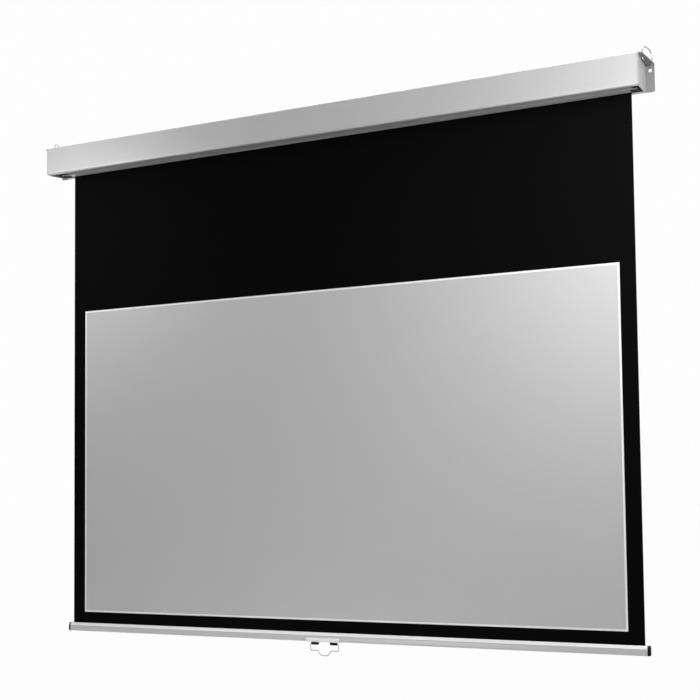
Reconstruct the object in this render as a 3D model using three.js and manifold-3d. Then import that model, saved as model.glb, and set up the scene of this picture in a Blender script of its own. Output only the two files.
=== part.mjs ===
// Pull down projection screen with a spring roller: a silver casing for wall or ceiling, a black edged
// grey fabric, a weighted bottom bar and a wire pull handle. Sizes are in millimetres.
// X runs along the screen, +Y points to the wall, +Z up. The origin is the middle of the casing's back.
// The fabric is shown pulled right down, which is rest.

import * as THREE from 'three';
import { mergeVertices } from 'three/addons/utils/BufferGeometryUtils.js';
import Module from 'manifold-3d';

const wasm = await Module();
wasm.setup();

// Fabric
const viewWidth = 1600;
const viewHeight = 900;
const sideBorder = 40;
const blackDrop = 419;
const bottomBorder = 32;
const clothThick = 0.5;

// Casing, an aluminium profile with a hanging front lip
const casingDepth = 102;
const casingHeight = 80;
const casingWall = 1.4;
const lipDrop = 11;
const lipDepth = 11;
const frontRail = 6;
const rearRail = 13;
const topRadius = 3;
const noseRadius = 6;
const rearRadius = 1.5;

// Guide bar under the roller, in front of the fabric
const guideDepth = 20;
const guideHeight = 8.5;
const guideWall = 1.2;
const guideRadius = 2;
const guideDrop = 3;
const slotFront = 6;

// End caps, each with a tapered ear on top and a wall flange behind
const capPlate = 2.5;
const earWidth = 22.5;
const earNose = 8;
const earShoulder = 14;
const earSetback = 4;
const earRadius = 4;
const wallHoleRadius = 4.5;
const wallHoleDrop = 15;
const wallHoleOut = 12;

// End plugs, each with a rim in the profile, a floor between its rails and a tongue for the guide bar
const rimDepth = 10;
const rimWall = 1.5;
const tongueLength = 25;

// Hanging loops, arches of wire whose feet pass through the ear and are turned under it
const loopWire = 3.5;
const loopSpan = 50;
const loopHeight = 31;
const loopTurn = 73;
const loopArch = 18;
const loopBend = 2.4;
const loopFoot = 7;
const loopBack = 38;

// Roller tube with a fabric groove
const tubeRadius = 19;
const tubeWall = 1.3;
const tubeMargin = 8;
const keyRadius = 1.7;
const grooveWall = 1.1;
const grooveMouth = 2.6;
const turnsLeft = 1.5;
const turnPitch = 0.8;
const rollerBackGap = 14.5;

// Brackets inside the caps
const bracketBase = 2.5;
const bracketMargin = 10;
const bossRadius = 13;
const springBoss = 14;
const idleBoss = 10;
const plugFlange = 5;
const plugLength = 22;

// Spring, shaft and ratchet at the left end
const shaftRadius = 4;
const shaftFlat = 4.4;
const bossGap = 2.8;
const wheelThick = 5;
const wheelTip = 8.5;
const wheelRoot = 6.2;
const wheelNotches = 4;
const pawlThick = 4;
const pawlPivotRadius = 13.5;
const pawlReach = 10;
const pawlEye = 3;
const pawlNose = 1;
const pinRadius = 1.5;
const springTurns = 24;
const springPitch = 10;
const springMean = 9;
const springWire = 2;
const collarRadius = 10;
const collarLength = 10;

// Idle end
const idlePinReach = 18;
const idleCollar = 6.5;
const idleCollarThick = 1.6;
const bushWall = 2;

// Bottom bar
const barHeight = 24;
const barDepth = 20;
const barOverhang = 6;
const barTopLand = 12;
const barBottomLand = 15;
const barShoulder = 8;
const barHeel = 5;
const barRadius = 1.2;
const barGroove = 1;
const rodRadius = 3.1;
const barTopWall = 2.4;
const barMouth = 2.4;
const barWeb = 1.5;
const barSide = 3;
const slotMouth = 7;
const slotLip = 2;
const slotWidth = 11;
const slotHeight = 3.2;
const barCapThick = 6;
const barCapEdge = 1;
const barCapTongue = 20;

// Pull handle with its clips and bracket plate
const bracketPlate = 1.2;
const bracketWidth = 98;
const bracketRise = 10;
const handleOffset = -12;
const handleWire = 3.2;
const handleWidth = 84;
const handleSide = 20;
const handleRise = 1.5;
const handleShoulder = 20;
const handleDip = 12;
const handleFlat = 11;
const handleBend = 5;
const clipSpan = 20;
const clipDrop = 8;
const clipBody = 9;
const clipMargin = 2.5;
const pivotDrop = 4;
const stubDepth = 12;

// Clearances
const seatGap = 0.3;
const runGap = 0.1;
const overrun = 5;

// Facets
const roundSides = 32;
const wireSides = 8;
const springSides = 5;
const springSteps = 8;
const filletSteps = 4;
const arcSteps = 12;

// Heights and depths that follow
const casingTop = casingHeight / 2;
const lipBottom = -casingHeight / 2;
const bottomPlane = lipBottom + lipDrop;
const casingFront = -casingDepth;
const innerTop = casingTop - casingWall;
const innerBottom = bottomPlane + casingWall;
const innerFront = casingFront + casingWall;
const innerBack = -casingWall;
const lipBack = casingFront + lipDepth;
const guideBottom = bottomPlane - guideDrop;

const viewTop = bottomPlane - blackDrop;
const viewBottom = viewTop - viewHeight;
const barTop = viewBottom - bottomBorder;
const barBottom = barTop - barHeight;

const rollerZ = (casingTop + bottomPlane) / 2;
const layRadius = tubeRadius + seatGap + turnsLeft * turnPitch;
const restRadius = layRadius + clothThick;
const woundArea = (rollerZ - viewBottom) * clothThick / Math.PI;
const woundRadius = Math.sqrt(restRadius * restRadius + woundArea);
const rollerY = -(casingWall + rollerBackGap + woundRadius);
const clothFront = rollerY + layRadius;
const clothBack = clothFront + clothThick;
const clothMid = (clothFront + clothBack) / 2;

// Lengths along X: each end is the stack of what stands between the cap's outside and the fabric
const clothWidth = viewWidth + 2 * sideBorder;
const capStack = capPlate + seatGap + bracketBase;
const ratchetStack = springBoss + bossGap + wheelThick + seatGap;
const insetLeft = capStack + ratchetStack + plugFlange + seatGap + tubeMargin;
const idleStack = idleBoss + seatGap + idleCollarThick + seatGap;
const insetRight = capStack + idleStack + plugFlange + seatGap + tubeMargin;
const casingLength = clothWidth + insetLeft + insetRight;
const endX = casingLength / 2;
const clothLeft = -endX + insetLeft;
const clothRight = endX - insetRight;
const clothMiddle = (clothLeft + clothRight) / 2;
const tubeLeft = clothLeft - tubeMargin;
const tubeRight = clothRight + tubeMargin;
const capInner = endX - capPlate;

// Colours and finishes
const finishes = {
  silver: { color: 0xc9cacc, roughness: 0.38, metalness: 0.85 },
  steel: { color: 0xb4b6b8, roughness: 0.3, metalness: 1 },
  zinc: { color: 0x8f9295, roughness: 0.45, metalness: 0.9 },
  blackPlastic: { color: 0x16171a, roughness: 0.5, metalness: 0 },
  nylon: { color: 0xe6e2d6, roughness: 0.55, metalness: 0 },
  cloth: { color: 0x9a9b9d, roughness: 0.9, metalness: 0 },
  blackCloth: { color: 0x0b0b0c, roughness: 0.9, metalness: 0 },
};

// A polygon from corners [u, v, radius], each corner with a radius rounded by an arc
function outline(corners) {
  const points = [];
  corners.forEach(([u, v, radius = 0], i) => {
    const corner = new THREE.Vector2(u, v);
    if (radius <= 0) {
      points.push(corner);
      return;
    }
    const last = corners.at(i - 1);
    const next = corners[(i + 1) % corners.length];
    const toLast = new THREE.Vector2(last[0], last[1]).sub(corner).normalize();
    const toNext = new THREE.Vector2(next[0], next[1]).sub(corner).normalize();
    const halfAngle = Math.acos(THREE.MathUtils.clamp(toLast.dot(toNext), -1, 1)) / 2;
    const middle = toLast.clone().add(toNext).normalize();
    const centre = corner.clone().addScaledVector(middle, radius / Math.sin(halfAngle));
    const setback = radius / Math.tan(halfAngle);
    const start = corner.clone().addScaledVector(toLast, setback).sub(centre);
    const end = corner.clone().addScaledVector(toNext, setback).sub(centre);
    const sweep = Math.atan2(start.cross(end), start.dot(end));
    for (let k = 0; k <= filletSteps; k++) {
      const spoke = start.clone().rotateAround(new THREE.Vector2(), sweep * k / filletSteps);
      points.push(spoke.add(centre));
    }
  });
  return new THREE.Shape(points);
}

function rectangle(u0, v0, u1, v1, radius = 0) {
  return outline([[u0, v0, radius], [u1, v0, radius], [u1, v1, radius], [u0, v1, radius]]);
}

function disc(u, v, radius, sides = roundSides) {
  const points = [];
  for (let k = 0; k < sides; k++) {
    const angle = 2 * Math.PI * k / sides;
    points.push(new THREE.Vector2(u + radius * Math.cos(angle), v + radius * Math.sin(angle)));
  }
  return new THREE.Shape(points);
}

// Radius of a faceted bore whose flats clear a shaft of this radius
function bore(radius, gap) {
  return (radius + gap) / Math.cos(Math.PI / roundSides);
}

const unitX = new THREE.Vector3(1, 0, 0);
const unitY = new THREE.Vector3(0, 1, 0);
const unitZ = new THREE.Vector3(0, 0, 1);
const alongX = new THREE.Matrix4().makeBasis(unitY, unitZ, unitX);
const alongY = new THREE.Matrix4().makeBasis(unitX, unitZ, unitY.clone().negate());

function sweep(shape, depth) {
  return new THREE.ExtrudeGeometry(shape, { depth, bevelEnabled: false });
}

// A shape drawn in Y and Z, taken from one X to another
function extrudeX(shape, a, b) {
  return sweep(shape, Math.abs(b - a)).applyMatrix4(alongX).translate(Math.min(a, b), 0, 0);
}

// A shape drawn in X and Z, taken from one Y to another
function extrudeY(shape, a, b) {
  return sweep(shape, Math.abs(b - a)).applyMatrix4(alongY).translate(0, Math.max(a, b), 0);
}

// A shape drawn in X and Y, taken from one Z to another
function extrudeZ(shape, a, b) {
  return sweep(shape, Math.abs(b - a)).translate(0, 0, Math.min(a, b));
}

function solid(geometry) {
  geometry.deleteAttribute('normal');
  geometry.deleteAttribute('uv');
  const merged = mergeVertices(geometry);
  return new wasm.Manifold(new wasm.Mesh({
    numProp: 3,
    vertProperties: new Float32Array(merged.attributes.position.array),
    triVerts: new Uint32Array(merged.index.array),
  }));
}

function join(first, ...others) {
  return others.reduce((whole, other) => whole.add(solid(other)), solid(first));
}

function cut(whole, ...others) {
  return others.reduce((rest, other) => rest.subtract(solid(other)), whole);
}

function geometryOf(manifold) {
  const mesh = manifold.getMesh();
  const geometry = new THREE.BufferGeometry();
  geometry.setAttribute('position', new THREE.BufferAttribute(new Float32Array(mesh.vertProperties), 3));
  geometry.setIndex(new THREE.BufferAttribute(new Uint32Array(mesh.triVerts), 1));
  geometry.computeVertexNormals();
  return geometry;
}

// A curve through points as they stand, so that a straight stretch has a ring only at each end
class WirePath extends THREE.Curve {
  constructor(points) {
    super();
    this.points = points;
  }

  getPoint(t, target = new THREE.Vector3()) {
    const place = t * (this.points.length - 1);
    const i = Math.min(Math.floor(place), this.points.length - 2);
    return target.lerpVectors(this.points[i], this.points[i + 1], place - i);
  }

  getPointAt(u, target) {
    return this.getPoint(u, target);
  }

  getTangentAt(u, target) {
    return this.getTangent(u, target);
  }
}

// Wire drawn in X and Z through corners [x, z, radius], with its ends open
function bentWire(corners, diameter) {
  const shape = outline([[0, 0], ...corners, [0, 0]]);
  const points = shape.getPoints().slice(1, -1).map(p => new THREE.Vector3(p.x, 0, p.y));
  const path = new WirePath(points);
  return new THREE.ExtrudeGeometry(disc(0, 0, diameter / 2, wireSides), {
    steps: points.length - 1,
    extrudePath: path,
    bevelEnabled: false,
  });
}

function material(finish) {
  return new THREE.MeshStandardMaterial(finishes[finish]);
}

const screen = new THREE.Group();

function piece(name, shape, finish, parent = screen) {
  const geometry = shape instanceof THREE.BufferGeometry ? shape : geometryOf(shape);
  const mesh = new THREE.Mesh(geometry, material(finish));
  mesh.name = name;
  parent.add(mesh);
  return mesh;
}

// Casing profile: top, back and front walls, a rounded front lip with its channel, and two bottom rails
function casingShell() {
  const section = outline([
    [-rearRail, bottomPlane],
    [0, bottomPlane, rearRadius],
    [0, casingTop, rearRadius],
    [casingFront, casingTop, topRadius],
    [casingFront, lipBottom, noseRadius],
    [lipBack, lipBottom, casingWall],
    [lipBack, bottomPlane],
    [lipBack + frontRail, bottomPlane],
    [lipBack + frontRail, innerBottom],
    [lipBack - casingWall, innerBottom],
    [lipBack - casingWall, lipBottom + casingWall],
    [innerFront, lipBottom + casingWall, noseRadius - casingWall],
    [innerFront, innerTop, topRadius - casingWall],
    [innerBack, innerTop],
    [innerBack, innerBottom],
    [-rearRail, innerBottom],
  ]);
  return extrudeX(section, -capInner + seatGap, capInner - seatGap);
}

// Guide bar: a flat tube that ties the end caps together and closes the casing in front of the fabric.
// It stands close to the fabric, under the full roll, or in front of the roll in a casing too low for that.
const rollReach = woundRadius + seatGap;
const rollDrop = rollerZ - guideBottom - guideHeight;
const guideRear = rollDrop > rollReach
  ? clothFront - slotFront
  : rollerY - Math.sqrt(rollReach * rollReach - rollDrop * rollDrop);
const guideFront = guideRear - guideDepth;
const guideEnd = capInner - rimDepth - seatGap;

// The bar's section, made larger or smaller on all its sides
function guideSection(grow, radius) {
  return rectangle(guideFront - grow, guideBottom - grow,
    guideRear + grow, guideBottom + guideHeight + grow, radius);
}

function guideBar() {
  const tube = join(extrudeX(guideSection(0, guideRadius), -guideEnd, guideEnd));
  return cut(tube, extrudeX(guideSection(-guideWall), -endX, endX));
}

// End cap: plate, pierced ear and wall flange
function endCap(side) {
  const plate = outline([
    [0, bottomPlane],
    [0, casingTop],
    [casingFront, casingTop, topRadius],
    [casingFront, lipBottom, noseRadius],
    [lipBack, lipBottom],
  ]);
  const ear = outline([
    [side * capInner, casingFront + earSetback],
    [side * (endX + earNose), casingFront + earSetback, earRadius],
    [side * (endX + earWidth), -earShoulder, earRadius],
    [side * (endX + earWidth), 0],
    [side * capInner, 0],
  ]);
  const flange = outline([
    [side * capInner, bottomPlane],
    [side * (endX + earWidth), bottomPlane, earRadius],
    [side * (endX + earWidth), casingTop],
    [side * capInner, casingTop],
  ]);
  const wallHole = disc(side * (endX + wallHoleOut), casingTop - wallHoleDrop, wallHoleRadius);
  const loopHoles = [-1, 1].map(end => {
    const angle = THREE.MathUtils.degToRad(side * loopTurn);
    const x = side * (endX + earWidth / 2) + end * loopSpan / 2 * Math.cos(angle);
    const y = -loopBack + end * loopSpan / 2 * Math.sin(angle);
    const hole = disc(x, y, bore(loopWire / 2, seatGap));
    return extrudeZ(hole, casingTop - capPlate - overrun, casingTop + overrun);
  });
  const body = join(extrudeX(plate, side * capInner, side * endX),
    extrudeZ(ear, casingTop - capPlate, casingTop),
    extrudeY(flange, -capPlate, 0));
  return cut(body, extrudeY(wallHole, -capPlate - overrun, overrun), ...loopHoles);
}

// End plug: its floor closes the casing from below as far in as the roller's tube, round the guide bar
function endPlug(side) {
  const outer = side * (capInner - seatGap);
  const inner = side * (capInner - rimDepth);
  const reach = side < 0 ? tubeLeft : tubeRight;
  const rimGap = seatGap + rimWall;
  const rimOuter = rectangle(innerFront + seatGap, innerBottom + seatGap,
    innerBack - seatGap, innerTop - seatGap, topRadius - casingWall);
  const rimInner = rectangle(innerFront + rimGap, innerBottom + rimGap,
    innerBack - rimGap, innerTop - rimGap);
  const floor = rectangle(lipBack + frontRail + seatGap, bottomPlane,
    -rearRail - seatGap, innerBottom + rimGap);
  const tongue = guideSection(-guideWall - seatGap);
  const rim = cut(join(extrudeX(rimOuter, outer, inner)), extrudeX(rimInner, -endX, endX));
  const base = cut(join(extrudeX(floor, outer, reach)),
    extrudeX(guideSection(seatGap), inner, reach - side * overrun));
  return join(extrudeX(tongue, outer, inner - side * tongueLength)).add(rim).add(base);
}

// Hanging loop, drawn about the ear's top face: an arch with its feet turned toward each other below
function hangingLoop() {
  const half = loopSpan / 2;
  const crown = loopHeight - loopWire / 2;
  const foot = -capPlate - seatGap - loopWire / 2;
  return bentWire([
    [half - loopFoot, foot],
    [half, foot, loopBend],
    [half, crown, loopArch],
    [-half, crown, loopArch],
    [-half, foot, loopBend],
    [loopFoot - half, foot],
  ], loopWire);
}

function addLoop(side, word) {
  const stand = new THREE.Group();
  stand.position.set(side * (endX + earWidth / 2), -loopBack, casingTop);
  stand.rotation.z = THREE.MathUtils.degToRad(side * loopTurn);
  piece(`hanging_loop_${word}`, hangingLoop(), 'steel', stand);
  screen.add(stand);
}

// Bracket base with a round boss on the roller's axis
function bracket(side, bossLength) {
  const reach = bossRadius + bracketMargin;
  const base = rectangle(rollerY - reach, rollerZ - reach,
    rollerY + reach, rollerZ + reach, bracketMargin / 2);
  const outer = side * (capInner - seatGap);
  const face = outer - side * bracketBase;
  return join(extrudeX(base, outer, face),
    extrudeX(disc(rollerY, rollerZ, bossRadius), outer, face - side * bossLength));
}

// Left bracket: the boss is slotted from above for the shaft's flat tongue
function springBracket() {
  const half = shaftFlat / 2 + seatGap;
  const slot = rectangle(rollerY - half, rollerZ - shaftRadius - seatGap, rollerY + half,
    rollerZ + bossRadius + bracketMargin);
  const from = -capInner + seatGap + bracketBase;
  return cut(bracket(-1, springBoss), extrudeX(slot, from, from + springBoss + overrun));
}

// Right bracket: the boss is bored for the idle pin
function idleBracket() {
  const hole = disc(rollerY, rollerZ, bore(shaftRadius, seatGap));
  const from = capInner - capStack - idleBoss - overrun;
  return cut(bracket(1, idleBoss), extrudeX(hole, from, capInner + overrun));
}

// Places along the ratchet end
const tongueEnd = -capInner + seatGap + bracketBase + seatGap;
const wheelLeft = -endX + capStack + springBoss + bossGap;
const wheelRight = wheelLeft + wheelThick;
const headLeft = wheelRight + seatGap;
const headRight = headLeft + plugFlange;
const springLeft = tubeLeft + plugLength + seatGap;
const springLength = springTurns * springPitch;
const collarLeft = springLeft + springLength + springWire + 2 * seatGap;
const shaftEnd = collarLeft + collarLength;

// Spring shaft: flattened on two sides where the bracket and the ratchet wheel hold it
function springShaft() {
  const rod = join(extrudeX(disc(rollerY, rollerZ, shaftRadius), tongueEnd, shaftEnd));
  const flats = [-1, 1].map(sign => {
    const near = rollerY + sign * shaftFlat / 2;
    const far = rollerY + sign * (shaftRadius + overrun);
    const block = rectangle(Math.min(near, far), rollerZ - shaftRadius - overrun,
      Math.max(near, far), rollerZ + shaftRadius + overrun);
    return extrudeX(block, tongueEnd - overrun, wheelRight);
  });
  return cut(rod, ...flats);
}

// Where a seated pawl's nose lies, seen from the roller's axis
const seatedDistance = wheelRoot + pawlNose + (wheelTip - wheelRoot) / 3;
const clearDistance = wheelTip + pawlNose + 2 * seatGap;

// Angle of the pawl to its pivot's radius, for a nose at this distance from the axis
function pawlAngle(distance) {
  const square = distance ** 2 - pawlPivotRadius ** 2 - pawlReach ** 2;
  return Math.acos(square / (2 * pawlPivotRadius * pawlReach));
}

function noseAngle(distance) {
  const angle = pawlAngle(distance);
  return Math.atan2(pawlReach * Math.sin(angle), pawlPivotRadius + pawlReach * Math.cos(angle));
}

const pawlRest = pawlAngle(clearDistance);
const pawlSwing = pawlAngle(seatedDistance) - pawlRest;

// Ratchet wheel, fixed on the shaft: each notch slopes down to a radial face that stops a seated nose
function ratchetWheel() {
  const noseSpan = Math.asin((pawlNose + seatGap) / seatedDistance);
  const stopAngle = Math.PI / 2 + noseAngle(seatedDistance) + noseSpan;
  const pitch = 2 * Math.PI / wheelNotches;
  const points = [];
  for (let notch = 0; notch < wheelNotches; notch++) {
    for (let k = 0; k <= filletSteps; k++) {
      const share = k / filletSteps;
      const radius = wheelTip + (wheelRoot - wheelTip) * share;
      const angle = stopAngle + (notch + share) * pitch;
      points.push(new THREE.Vector2(rollerY + radius * Math.cos(angle),
        rollerZ + radius * Math.sin(angle)));
    }
  }
  const wheel = join(extrudeX(new THREE.Shape(points), wheelLeft, wheelRight));
  const half = shaftFlat / 2 + seatGap;
  const flatBore = rectangle(rollerY - half, rollerZ - shaftRadius - overrun, rollerY + half,
    rollerZ + shaftRadius + overrun);
  const roundBore = disc(rollerY, rollerZ, bore(shaftRadius, seatGap));
  const hole = solid(extrudeX(flatBore, wheelLeft - overrun, wheelRight + overrun))
    .intersect(solid(extrudeX(roundBore, wheelLeft - overrun, wheelRight + overrun)));
  return wheel.subtract(hole);
}

// Pawl: a tapered finger from its eye to its nose, drawn about the pivot and turned by its group
function pawl() {
  const slope = Math.acos((pawlEye - pawlNose) / pawlReach);
  const points = [];
  for (let k = 0; k <= arcSteps; k++) {
    const angle = slope + (2 * Math.PI - 2 * slope) * k / arcSteps;
    points.push(new THREE.Vector2(pawlEye * Math.cos(angle), pawlEye * Math.sin(angle)));
  }
  for (let k = 0; k <= filletSteps; k++) {
    const angle = -slope + 2 * slope * k / filletSteps;
    points.push(new THREE.Vector2(pawlReach + pawlNose * Math.cos(angle), pawlNose * Math.sin(angle)));
  }
  const eye = disc(0, 0, bore(pinRadius, runGap));
  return cut(join(extrudeX(new THREE.Shape(points), 0, pawlThick)),
    extrudeX(eye, -overrun, pawlThick + overrun));
}

function addPawl(word, turn) {
  const pivot = new THREE.Group();
  const y = rollerY + pawlPivotRadius * Math.cos(turn);
  const z = rollerZ + pawlPivotRadius * Math.sin(turn);
  pivot.position.set(wheelLeft + (wheelThick - pawlThick) / 2, y, z);
  pivot.rotation.x = turn + pawlRest;
  piece(`pawl_${word}`, pawl(), 'steel', pivot);
  screen.add(pivot);
}

// Groove of the roller tube: a round channel under the skin, open through a narrow mouth at the front
const channelRadius = keyRadius + clothThick + 2 * seatGap;
const channelY = rollerY - tubeRadius + grooveWall + channelRadius;
const channelSides = 16;

function channelBody(gap) {
  return disc(channelY, rollerZ, channelRadius + grooveWall + gap, channelSides);
}

function rollerTube() {
  const wall = cut(join(extrudeX(disc(rollerY, rollerZ, tubeRadius), tubeLeft, tubeRight)),
    extrudeX(disc(rollerY, rollerZ, tubeRadius - tubeWall), -endX, endX));
  const mouth = rectangle(rollerY - tubeRadius - overrun, rollerZ - grooveMouth / 2, channelY,
    rollerZ + grooveMouth / 2);
  return cut(wall.add(solid(extrudeX(channelBody(0), tubeLeft, tubeRight))),
    extrudeX(disc(channelY, rollerZ, channelRadius, channelSides), -endX, endX),
    extrudeX(mouth, -endX, endX));
}

// Key in the hem of the cloth, drawn against the lips of the groove by the cloth
function fabricKey() {
  const keyY = channelY - (channelRadius - keyRadius - seatGap);
  return extrudeX(disc(keyY, rollerZ, keyRadius, channelSides), clothLeft, clothRight);
}

// The turns that stay on the roller: a spiral of cloth from the tangent at the back round to the groove
function fabricTurns() {
  const total = turnsLeft * roundSides;
  const ring = (k, extra) => {
    const angle = 2 * Math.PI * k / roundSides;
    const radius = layRadius - turnPitch * k / roundSides + extra;
    return new THREE.Vector2(rollerY + radius * Math.cos(angle), rollerZ + radius * Math.sin(angle));
  };
  const points = [];
  for (let k = 0; k <= total; k++) points.push(ring(k, clothThick));
  for (let k = total; k >= 0; k--) points.push(ring(k, 0));
  return extrudeX(new THREE.Shape(points), clothLeft, clothRight);
}

// A plug in the end of the tube: a flange as wide as the tube, and a barrel cut clear of the channel
function tubePlug(side, tubeEnd, boreRadius) {
  const flangeFace = tubeEnd + side * (seatGap + plugFlange);
  const barrel = disc(rollerY, rollerZ, tubeRadius - tubeWall - seatGap);
  const inside = tubeEnd - side * plugLength;
  const body = cut(join(extrudeX(barrel, tubeEnd + side * seatGap, inside)),
    extrudeX(channelBody(seatGap), tubeEnd + side * seatGap, inside - side * overrun));
  const flange = extrudeX(disc(rollerY, rollerZ, tubeRadius), tubeEnd + side * seatGap, flangeFace);
  return cut(body.add(solid(flange)),
    extrudeX(disc(rollerY, rollerZ, boreRadius), flangeFace + side * overrun, inside - side * overrun));
}

// Ratchet head: the left plug, which runs on the shaft and carries the two pawl pins
function ratchetHead() {
  const pins = [Math.PI / 2, -Math.PI / 2].map(turn => {
    const y = rollerY + pawlPivotRadius * Math.cos(turn);
    const z = rollerZ + pawlPivotRadius * Math.sin(turn);
    return solid(extrudeX(disc(y, z, pinRadius), wheelLeft, headRight));
  });
  return pins.reduce((whole, pin) => whole.add(pin), tubePlug(-1, tubeLeft, bore(shaftRadius, runGap)));
}

class Helix extends THREE.Curve {
  getPoint(t, target = new THREE.Vector3()) {
    const angle = 2 * Math.PI * springTurns * t;
    return target.set(springLength * t, springMean * Math.cos(angle), springMean * Math.sin(angle));
  }
}

// Torsion spring: wound from the ratchet head to the collar on the shaft
function torsionSpring() {
  const path = new Helix();
  const steps = springTurns * springSteps;
  const points = path.getPoints(steps);
  let least = Infinity;
  for (let i = 0; i < points.length; i++) {
    for (let j = i + springSteps / 2; j < points.length; j++) {
      least = Math.min(least, points[i].distanceTo(points[j]) - springWire);
    }
  }
  console.log(`least gap between the spring's turns: ${least.toFixed(2)} mm`);
  const wire = new THREE.ExtrudeGeometry(disc(0, 0, springWire / 2, springSides), {
    steps,
    extrudePath: path,
    bevelEnabled: false,
  });
  return wire.translate(springLeft + springWire / 2 + seatGap, rollerY, rollerZ);
}

function springCollar() {
  const ring = join(extrudeX(disc(rollerY, rollerZ, collarRadius), collarLeft, shaftEnd));
  return cut(ring, extrudeX(disc(rollerY, rollerZ, bore(shaftRadius, seatGap)), -endX, endX));
}

// Idle end: the right plug turns on a bush and a fixed pin with a thrust collar
const bushRadius = shaftRadius + runGap + bushWall;
const collarFace = capInner - seatGap - bracketBase - idleBoss - seatGap;

function idlePin() {
  const tip = collarFace - idleCollarThick - idlePinReach;
  const rod = disc(rollerY, rollerZ, shaftRadius);
  const collar = disc(rollerY, rollerZ, idleCollar);
  return join(extrudeX(rod, tip, capInner - 2 * seatGap),
    extrudeX(collar, collarFace - idleCollarThick, collarFace));
}

function idleBush() {
  const outer = tubeRight + seatGap + plugFlange;
  const ring = join(extrudeX(disc(rollerY, rollerZ, bushRadius), tubeRight - plugLength, outer));
  return cut(ring, extrudeX(disc(rollerY, rollerZ, bore(shaftRadius, runGap)), -endX, endX));
}

// Fabric: the free sheet hangs from the roller's tangent, and the lower border hangs on the bar's rod
const cavityRadius = rodRadius + clothThick + 3 * seatGap;
const cavityZ = barTop - barTopWall - cavityRadius;

function screenFabric() {
  const section = rectangle(clothFront, viewBottom + seatGap, clothBack, rollerZ - seatGap);
  return extrudeX(section, clothLeft, clothRight);
}

function fabricHem() {
  const sheet = rectangle(clothFront, cavityZ + rodRadius + seatGap, clothBack, viewBottom);
  const loop = disc(clothMid, cavityZ, rodRadius + seatGap + clothThick, channelSides);
  const hollow = disc(clothMid, cavityZ, rodRadius + seatGap, channelSides);
  return cut(join(extrudeX(sheet, clothLeft, clothRight), extrudeX(loop, clothLeft, clothRight)),
    extrudeX(hollow, -endX, endX));
}

function hemRod() {
  return extrudeX(disc(clothMid, cavityZ, rodRadius, channelSides), clothLeft, clothRight);
}

// Bottom bar profile: sloping shoulders, a front groove, a rod cavity, a hollow and a slot underneath
const barLeft = clothLeft - barOverhang;
const barRight = clothRight + barOverhang;
const hollowTop = cavityZ - cavityRadius - barWeb;
const slotTop = barBottom + slotLip + slotHeight;
const hollowBottom = slotTop + barWeb;
const hollowHalf = barDepth / 2 - barSide;

function barOutline(groove) {
  const half = barDepth / 2;
  const front = clothMid - half;
  const shoulder = barTop - barShoulder;
  const grooved = groove
    ? [[front, shoulder], [front + groove, shoulder - groove], [front, shoulder - 2 * groove]]
    : [[front, shoulder, barRadius]];
  return outline([
    [clothMid + barTopLand / 2, barTop, barRadius],
    [clothMid - barTopLand / 2, barTop, barRadius],
    ...grooved,
    [front, barBottom + barHeel, barRadius],
    [clothMid - barBottomLand / 2, barBottom, barRadius],
    [clothMid + barBottomLand / 2, barBottom, barRadius],
    [clothMid + half, barBottom + barHeel, barRadius],
    [clothMid + half, shoulder, barRadius],
  ]);
}

function bottomBar() {
  const cavity = disc(clothMid, cavityZ, cavityRadius, channelSides);
  const mouth = rectangle(clothMid - barMouth / 2, cavityZ, clothMid + barMouth / 2, barTop + overrun);
  const hollow = rectangle(clothMid - hollowHalf, hollowBottom, clothMid + hollowHalf, hollowTop);
  const slot = rectangle(clothMid - slotWidth / 2, barBottom + slotLip, clothMid + slotWidth / 2, slotTop);
  const slit = rectangle(clothMid - slotMouth / 2, barBottom - overrun, clothMid + slotMouth / 2, slotTop);
  const tools = [cavity, mouth, hollow, slot, slit].map(shape => extrudeX(shape, -endX, endX));
  return cut(join(extrudeX(barOutline(barGroove), barLeft, barRight)), ...tools);
}

function barCap(side) {
  const face = side < 0 ? barLeft : barRight;
  const inner = face + side * (seatGap + barCapEdge);
  const depth = barCapThick - 2 * barCapEdge;
  const block = new THREE.ExtrudeGeometry(barOutline(0), {
    depth,
    bevelThickness: barCapEdge,
    bevelSize: barCapEdge,
    bevelOffset: -barCapEdge,
    bevelSegments: 1,
  }).applyMatrix4(alongX).translate(Math.min(inner, inner + side * depth), 0, 0);
  const tongue = rectangle(clothMid - hollowHalf + seatGap, hollowBottom + seatGap,
    clothMid + hollowHalf - seatGap, hollowTop - seatGap);
  return join(block, extrudeX(tongue, inner, face - side * barCapTongue));
}

// Bracket plate of the handle: folded round the bar's lower front edge, with slots for the clips' necks
const bracketUnder = barBottom - seatGap - bracketPlate;

function handleBracket() {
  const front = clothMid - barDepth / 2 - seatGap;
  const heel = clothMid - barBottomLand / 2 - seatGap;
  const rear = clothMid + barBottomLand / 2;
  const section = outline([
    [front, barBottom + bracketRise],
    [front - bracketPlate, barBottom + bracketRise],
    [front - bracketPlate, barBottom + barHeel - bracketPlate / 2, barRadius],
    [heel - bracketPlate / 2, bracketUnder, barRadius],
    [rear, bracketUnder],
    [rear, barBottom - seatGap],
    [heel, barBottom - seatGap],
    [front, barBottom + barHeel],
  ]);
  const neck = slotMouth / 2;
  const slots = [-1, 1].map(side => {
    const a = side * clipInner;
    const b = side * (clipInner - clipSpan);
    const slot = rectangle(Math.min(a, b) - seatGap, clothMid - neck,
      Math.max(a, b) + seatGap, clothMid + neck);
    return extrudeZ(slot, bracketUnder - overrun, barBottom);
  });
  return cut(join(extrudeX(section, -bracketWidth / 2, bracketWidth / 2)), ...slots);
}

// Handle clip: a T-head in the bar's slot and a rounded lug below the bracket, bored for the wire
const clipTop = bracketUnder - seatGap;
const pivotZ = clipTop - pivotDrop;
const clipInner = handleWidth / 2 - handleWire / 2 - clipMargin;

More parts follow.
